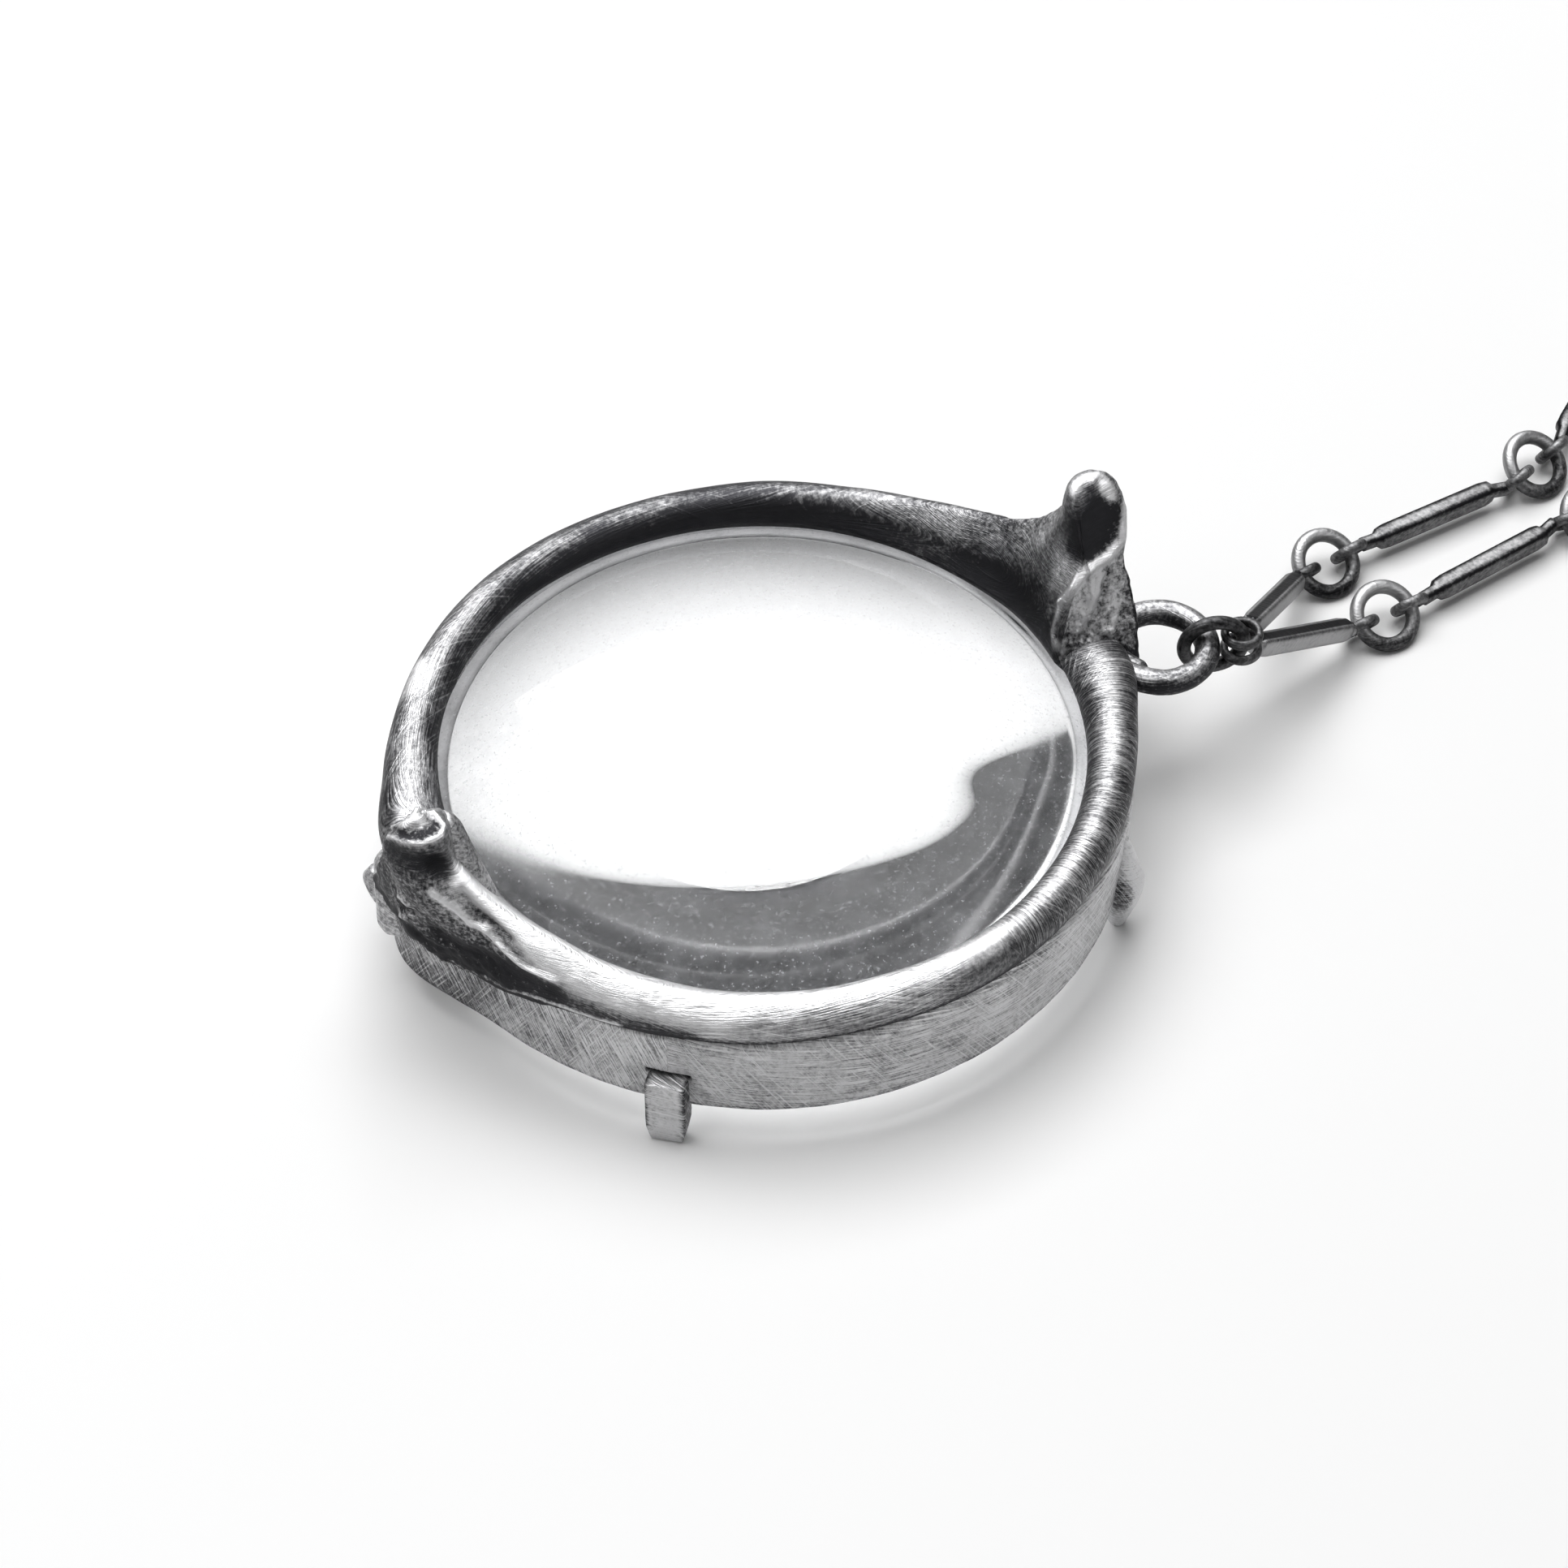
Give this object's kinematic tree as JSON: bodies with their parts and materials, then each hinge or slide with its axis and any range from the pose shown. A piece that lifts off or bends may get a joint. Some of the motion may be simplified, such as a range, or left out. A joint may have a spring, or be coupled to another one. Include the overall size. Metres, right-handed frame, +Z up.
{
  "type": "spyglass pendant necklace",
  "caption": "Round domed clear lens in a cast, bone-like rolled metal setting with knobbed spurs, small prongs and a side loop, on a laid-out bar-and-ring neck chain.",
  "frame": {"origin": "middle of the whole necklace's bounding box, on the floor it lies on", "axes": "+Z up out of the lens, +X along the longer side of the laid-out necklace, -Y towards the viewer"},
  "size_m": [0.2076, 0.1618, 0.0197],
  "materials": {
    "glass": "clear, polished, domed on both sides",
    "silver": "cast silver, brushed and darkened in the hollows",
    "dark_silver": "oxidised silver wire",
    "chain_silver": "silver bars and rings with darkened sides"
  },
  "bodies": {
    "root": {"lens": "glass", "frame": "silver", "jump_ring": "dark_silver", "chain_near": "chain_silver", "chain_far": "chain_silver", "clasp": "chain_silver"}
  },
  "joints": []
}
